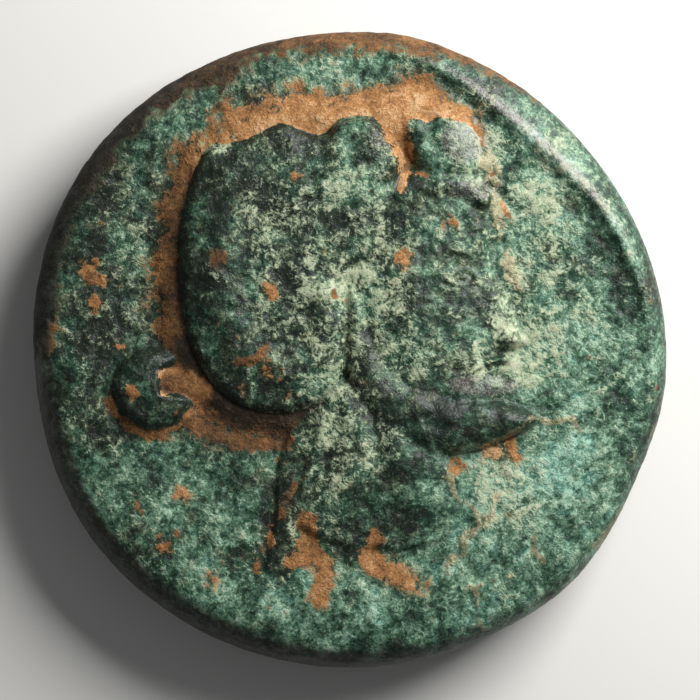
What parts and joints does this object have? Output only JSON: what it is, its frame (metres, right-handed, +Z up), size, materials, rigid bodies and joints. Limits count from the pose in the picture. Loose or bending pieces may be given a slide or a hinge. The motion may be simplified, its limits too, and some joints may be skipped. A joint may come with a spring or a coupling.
{
  "type": "ancient bronze coin",
  "caption": "Thick struck bronze coin with rounded edges, a bearded head in profile on one side and a thunderbolt in a wreath on the other, with green patina and soil in the hollows.",
  "frame": {"origin": "middle of the underside, on the plane that the coin rests on", "axes": "+Z up, out of the obverse with the head; +Y towards the crown of the head; +X the way the head faces"},
  "size_m": [0.022, 0.022, 0.0044],
  "materials": {
    "bronze_patina": "bronze under a mottled green and dark patina, with pale crust and orange-brown soil in the hollows"
  },
  "bodies": {
    "root": {"coin": "bronze_patina"}
  },
  "joints": []
}
